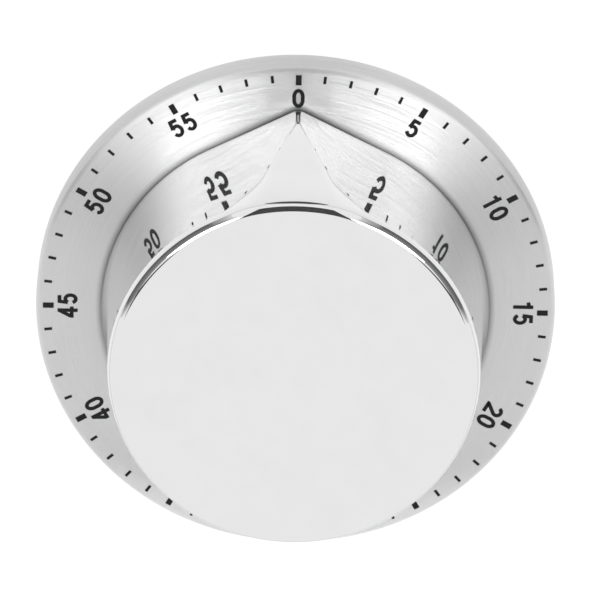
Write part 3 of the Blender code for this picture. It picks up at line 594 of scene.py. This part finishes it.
def knob_rows(angle):
    """(radius, height above the dial) in millimetres up the outer side at one angle."""
    lean = math.atan(CONE_SLOPE)
    low = KNOB_BASE_H + SKIRT_ROUND
    high = KNOB_TOP_H - RIM_ARC + RIM_ARC * math.sin(lean)
    skirt = [math.radians(90.0 * step / SKIRT_STEPS) for step in range(SKIRT_STEPS)]
    heights = [KNOB_BASE_H + SKIRT_ROUND * (1.0 - math.cos(turn)) for turn in skirt]
    heights += [low + (high - low) * step / WALL_STEPS for step in range(WALL_STEPS)]
    rows = [(knob_radius(angle, height), height) for height in heights]
    stretch = 1.0 + brow(angle) / RIM_ARC
    rim = quarter((TOP_R, KNOB_TOP_H - RIM_ARC), RIM_ARC, math.degrees(lean), 90.0, RIM_STEPS)
    return rows + [(TOP_R + (radius - TOP_R) * stretch, height) for radius, height in rim]


def make_knob():
    """The mirror knob's outer skin, and inside it the drafted hollow and the edge round its open bottom."""
    work = bmesh.new()
    outside = []
    inside = []
    levels = (KNOB_BASE_H + SHOULDER_H / 2.0, SHOULDER_H - KNOB_WALL, KNOB_TOP_H - KNOB_WALL)
    for angle in knob_angles():
        rows = knob_rows(angle)
        hollow = [(rows[0][0] - KNOB_WALL + SKIRT_ROUND, KNOB_BASE_H)]
        for height in levels:
            hollow.append((knob_radius(angle, min(height, SHOULDER_H)) - KNOB_WALL, height))
        for found, profile in ((outside, rows), (inside, hollow)):
            column = []
            for radius, height in profile:
                x, y = polar(radius * MM, angle)
                column.append(work.verts.new((x, y, DIAL_Z + height * MM)))
            found.append(column)
    for step in range(len(outside)):
        for columns in (outside, inside):
            one, other = columns[step - 1], columns[step]
            for lower in range(len(one) - 1):
                work.faces.new((one[lower], other[lower], other[lower + 1], one[lower + 1]))
        work.faces.new((outside[step - 1][0], outside[step][0], inside[step][0], inside[step - 1][0]))
    work.faces.new([column[-1] for column in outside])
    work.faces.new([column[-1] for column in inside])
    piece("knob_mirror", finish_mesh(work, "knob_mirror", 30.0), CHROME_LOOK, "knob", "chrome", "knob_shell")


make_dial()
make_ticks()
make_numerals()
make_knob()


# Studio


def glowing(name, colour):
    """A look that glows white over a dull colour, with its strength still to be set."""
    look = Nodes(name)
    look.shader.inputs["Base Color"].default_value = (*colour, 1.0)
    look.shader.inputs["Emission Color"].default_value = (1.0, 1.0, 1.0, 1.0)
    return look


def emitter(name, colour, strength):
    look = glowing(name, colour)
    look.shader.inputs["Roughness"].default_value = 0.9
    look.shader.inputs["Emission Strength"].default_value = strength
    return look.material


def make_floor():
    work = bmesh.new()
    bmesh.ops.create_circle(work, cap_ends=True, radius=FLOOR_R, segments=96)
    mesh = bpy.data.meshes.new("floor")
    work.to_mesh(mesh)
    work.free()
    mesh.materials.append(emitter("floor", (0.1, 0.1, 0.1), FLOOR_STRENGTH))
    floor = bpy.data.objects.new("floor", mesh)
    bpy.context.scene.collection.objects.link(floor)


def make_card(name, middle, size, towards, strength=0.0):
    """A dark or glowing card that faces a point, seen only in reflections."""
    work = bmesh.new()
    bmesh.ops.create_grid(work, x_segments=1, y_segments=1, size=0.5)
    bmesh.ops.scale(work, vec=(size[0], size[1], 1.0), verts=work.verts)
    mesh = bpy.data.meshes.new(name)
    work.to_mesh(mesh)
    work.free()
    mesh.materials.append(emitter(name, (0.01, 0.01, 0.01), strength))
    card = bpy.data.objects.new(name, mesh)
    facing = (Vector(towards) - Vector(middle)).to_track_quat("Z", "Y").to_matrix().to_4x4()
    card.matrix_world = Matrix.Translation(middle) @ facing
    card.visible_camera = False
    card.visible_shadow = False
    bpy.context.scene.collection.objects.link(card)


def sky(angle, height, distance):
    """A point at an angle clockwise from the zero mark, degrees above the floor, and a distance."""
    turn, rise = math.radians(angle), math.radians(height)
    x, y = polar(distance * math.cos(rise), turn)
    return Vector((x, y, distance * math.sin(rise)))


def flag_look(name, middle, half, height):
    """Dark cloth with painted light: a glow that rises a little towards its top and much more towards its two
    ends.
    """
    look = glowing(name, (0.02, 0.02, 0.02))
    _, east, north, rise = look.around()
    x, y = polar(1.0, middle)
    facing = look.math("ADD", look.math("MULTIPLY", east, x), look.math("MULTIPLY", north, y))
    # painted light on the flag: emission glow towards its top and towards its two ends
    upper = look.spread(rise, 0.0, FLAG_TOP, 0.0, height)
    ends = look.spread(facing, FLAG_END, 0.0, math.cos(half), math.cos(half * FLAG_DARK))
    look.link(look.math("MAXIMUM", upper, ends), look.shader.inputs["Emission Strength"])
    return look.material


def make_flag(name, start, end, radius, height):
    """A dark curved screen that stands on the floor round part of the timer, seen only in reflections."""
    work = bmesh.new()
    columns = []
    for step in range(FLAG_STEPS + 1):
        x, y = polar(radius, math.radians(start + (end - start) * step / FLAG_STEPS))
        columns.append((work.verts.new((x, y, FLAG_LIFT)), work.verts.new((x, y, height))))
    for one, other in zip(columns, columns[1:]):
        work.faces.new((one[0], other[0], other[1], one[1]))
    mesh = bpy.data.meshes.new(name)
    work.to_mesh(mesh)
    work.free()
    middle, half = math.radians((start + end) / 2.0), math.radians(abs(end - start) / 2.0)
    mesh.materials.append(flag_look(name, middle, half, height))
    flag = bpy.data.objects.new(name, mesh)
    flag.visible_camera = False
    flag.visible_shadow = False
    flag.visible_diffuse = False
    bpy.context.scene.collection.objects.link(flag)


def shade_look(name, radii, strengths):
    """A glow that changes evenly from the ring's inner edge to its outer edge."""
    look = glowing(name, (0.02, 0.02, 0.02))
    strength = look.spread(look.around()[0], *strengths, *radii)
    look.link(strength, look.shader.inputs["Emission Strength"])
    return look.material


def make_shade(name, radii, strengths):
    """A flat grey ring on the floor round the case, seen only in reflections."""
    work = bmesh.new()
    columns = []
    for step in range(64):
        turn = math.tau * step / 64
        columns.append([work.verts.new((*polar(radius, turn), SHADE_LIFT)) for radius in radii])
    for one, other in zip(columns, columns[1:] + columns[:1]):
        work.faces.new((one[0], other[0], other[1], one[1]))
    mesh = bpy.data.meshes.new(name)
    work.to_mesh(mesh)
    work.free()
    mesh.materials.append(shade_look(name, radii, strengths))
    shade = bpy.data.objects.new(name, mesh)
    shade.visible_camera = False
    shade.visible_shadow = False
    shade.visible_diffuse = False
    bpy.context.scene.collection.objects.link(shade)


def make_world(strength):
    world = bpy.data.worlds.new("studio")
    bpy.context.scene.world = world
    world.use_nodes = True
    back = world.node_tree.nodes["Background"]
    back.inputs["Color"].default_value = (1.0, 1.0, 1.0, 1.0)
    back.inputs["Strength"].default_value = strength


def make_studio():
    make_floor()
    make_world(SKY_STRENGTH)
    make_shade("near_shade", (0.0385, 0.043), (0.72, 0.72))
    make_shade("middle_shade", (0.043, 0.13), (0.98, 0.62))
    make_shade("far_shade", (0.13, 0.5), (0.62, 0.85))
    middle = (0.0, 0.0, DIAL_Z)
    make_card("camera_card", sky(0.0, 53.0, 1.5), (0.86, 1.40), middle)
    make_card("front_card", (0.0, 0.135, 0.002), (0.032, 0.13), (0.0, 0.135, 1.0))
    for side, name in ((-1.0, "left"), (1.0, "right")):
        make_flag(name + "_flag", side * FLAG_ARC[0], side * FLAG_ARC[1], FLAG_R, FLAG_HEIGHT)
        lamp = sky(side * 56.0, LAMP_HEIGHT, LAMP_DISTANCE)
        make_card(name + "_softbox", lamp, (0.62, 0.80), middle, SOFTBOX_STRENGTH)
        edge = sky(side * 96.0, LAMP_HEIGHT, LAMP_DISTANCE)
        make_card(name + "_edge_card", edge, (0.30, 0.9), middle)


make_studio()
